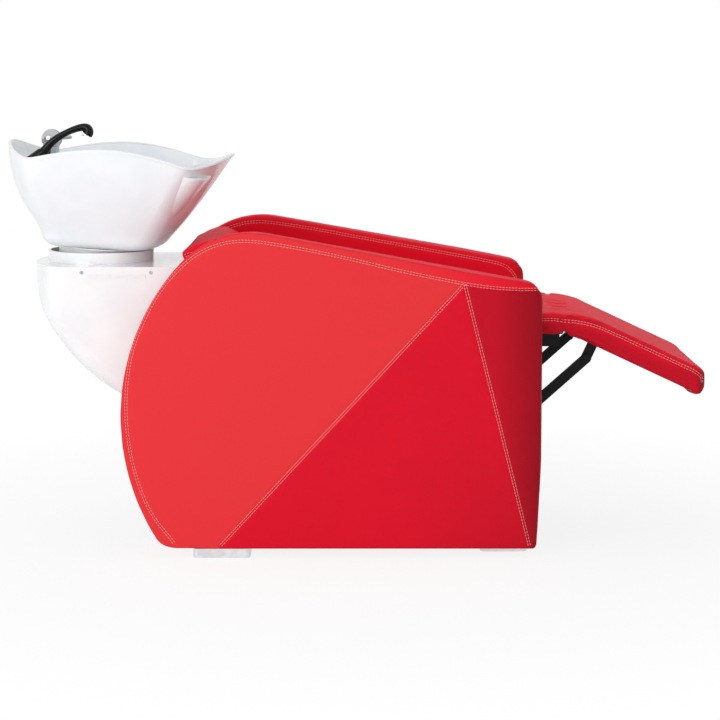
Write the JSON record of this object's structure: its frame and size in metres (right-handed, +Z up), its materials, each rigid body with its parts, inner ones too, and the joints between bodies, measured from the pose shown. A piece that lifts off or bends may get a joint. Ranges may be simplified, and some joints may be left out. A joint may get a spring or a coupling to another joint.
{
  "type": "hair washing bed",
  "caption": "Salon hair washing bed: padded seat and back between two faceted stitched armrests, tilting glazed basin with mixer and hand shower behind, fold-down legrest in front",
  "frame": {"origin": "on the floor under the middle of the overall length, on the plane of symmetry of the armrests", "axes": "+X points to the legrest, +Y to the sitter's left, +Z up"},
  "size_m": [1.6619, 0.68, 0.9991],
  "materials": {
    "red_cover": "red stitched artificial leather, slight grain, satin",
    "plywood": "birch plywood, edges bare, hidden under the covers",
    "black_steel": "satin black powder coat",
    "zinc_steel": "bright zinc-plated steel",
    "chrome": "polished chrome plate",
    "steel_foot": "pale brushed steel",
    "white_shell": "glossy white lacquered glass-fibre shell",
    "ceramic": null,
    "black_board": "black laminated board",
    "grey_trim": "pale grey trim strip, bare",
    "black_plastic": "glossy black plastic",
    "rubber_hose": "black rubber hose with a smooth skin",
    "grey_plastic": "grey drain plastic",
    "bush_plastic": "dark bearing plastic"
  },
  "bodies": {
    "root": {"right_armrest_pad": "red_cover", "left_armrest_pad": "red_cover", "right_armrest_core": "plywood", "left_armrest_core": "plywood", "rear_feet": "steel_foot", "front_feet": "steel_foot", "base_crossbars": "black_steel", "seat_board": "plywood", "seat_cushion": "red_cover", "seat_side_plates": "black_steel", "seat_crossbars": "black_steel", "back_board": "plywood", "back_cushion": "red_cover", "back_crossbars": "black_steel", "front_apron": "black_board", "panel_screws": "black_plastic", "rear_access_panel": "black_steel", "panel_battens": "plywood", "tube_bushes": "bush_plastic", "seat_hinge_leaves": "black_steel", "hinge_pins": "zinc_steel", "cover_screws": "chrome", "lower_shell": "white_shell", "shell_cover": "white_shell", "trim_strips": "grey_trim", "support_crossbar": "black_steel", "support_arms": "black_steel", "support_plate": "black_steel", "collar_ring": "white_shell", "tilt_ears": "zinc_steel", "tilt_pins": "zinc_steel", "cold_hose": "rubber_hose", "hot_hose": "rubber_hose", "waste_hose": "grey_plastic", "hose_unions": "chrome", "waste_pipe": "grey_plastic", "service_plate": "zinc_steel"},
    "basin": {"basin": "ceramic", "basin_neck": "white_shell", "tilt_saddle": "zinc_steel", "drain_fitting": "chrome", "drain_tail": "grey_plastic", "mixer_body": "chrome", "shower_holder": "black_plastic", "shower_hose": "rubber_hose"},
    "mixer_cap": {"mixer_cap": "chrome"},
    "mixer_lever": {"mixer_lever": "chrome"},
    "hand_shower": {"shower_handle": "black_plastic", "spray_face": "chrome"},
    "hair_strainer": {"hair_strainer": "chrome"},
    "legrest": {"legrest_board": "plywood", "legrest_pad": "red_cover", "legrest_brackets": "black_steel", "strut_bolts": "black_steel", "legrest_hinge_leaves": "black_steel"},
    "struts": {"legrest_struts": "black_steel"},
    "crank": {"crank_arms": "black_steel", "torque_tube": "black_steel"}
  },
  "joints": [
    {"name": "legrest_fold", "type": "hinge", "parent": "root", "child": "legrest", "pos_m": [0.494, 0, 0.508], "axis": [0, 1, 0], "range_deg": [0, 65]},
    {"name": "strut_turn", "type": "hinge", "parent": "legrest", "child": "struts", "pos_m": [0.54806, 0, 0.45285], "axis": [0, 1, 0], "range_deg": [-65, 0]},
    {"name": "crank_turn", "type": "hinge", "parent": "root", "child": "crank", "pos_m": [0.34537, 0, 0.37417], "axis": [0, 1, 0], "range_deg": [0, 65]},
    {"name": "basin_tilt", "type": "hinge", "parent": "root", "child": "basin", "pos_m": [-0.6217, 0, 0.66008], "axis": [0, 1, 0], "range_deg": [-7, 0], "deforming": ["cold_hose", "hot_hose", "waste_hose", "shower_hose"]},
    {"name": "mixer_turn", "type": "hinge", "parent": "basin", "child": "mixer_cap", "pos_m": [-0.74009, 0.025, 0.96011], "axis": [0.0628, 0, 0.998], "range_deg": [-50, 50]},
    {"name": "mixer_lift", "type": "hinge", "parent": "mixer_cap", "child": "mixer_lever", "pos_m": [-0.74009, 0.025, 0.96011], "axis": [0, 1, 0], "range_deg": [-25, 0]},
    {"name": "shower_lift", "type": "slide", "parent": "basin", "child": "hand_shower", "axis": [0.7815, 0, 0.6239], "range_m": [0, 0.08]},
    {"name": "strainer_lift", "type": "slide", "parent": "basin", "child": "hair_strainer", "axis": [0.0628, 0, 0.998], "range_m": [0, 0.06]}
  ],
  "couplings": [
    {"joint": "strut_turn", "follows": "legrest_fold", "ratio": -1},
    {"joint": "crank_turn", "follows": "legrest_fold", "ratio": 1}
  ]
}
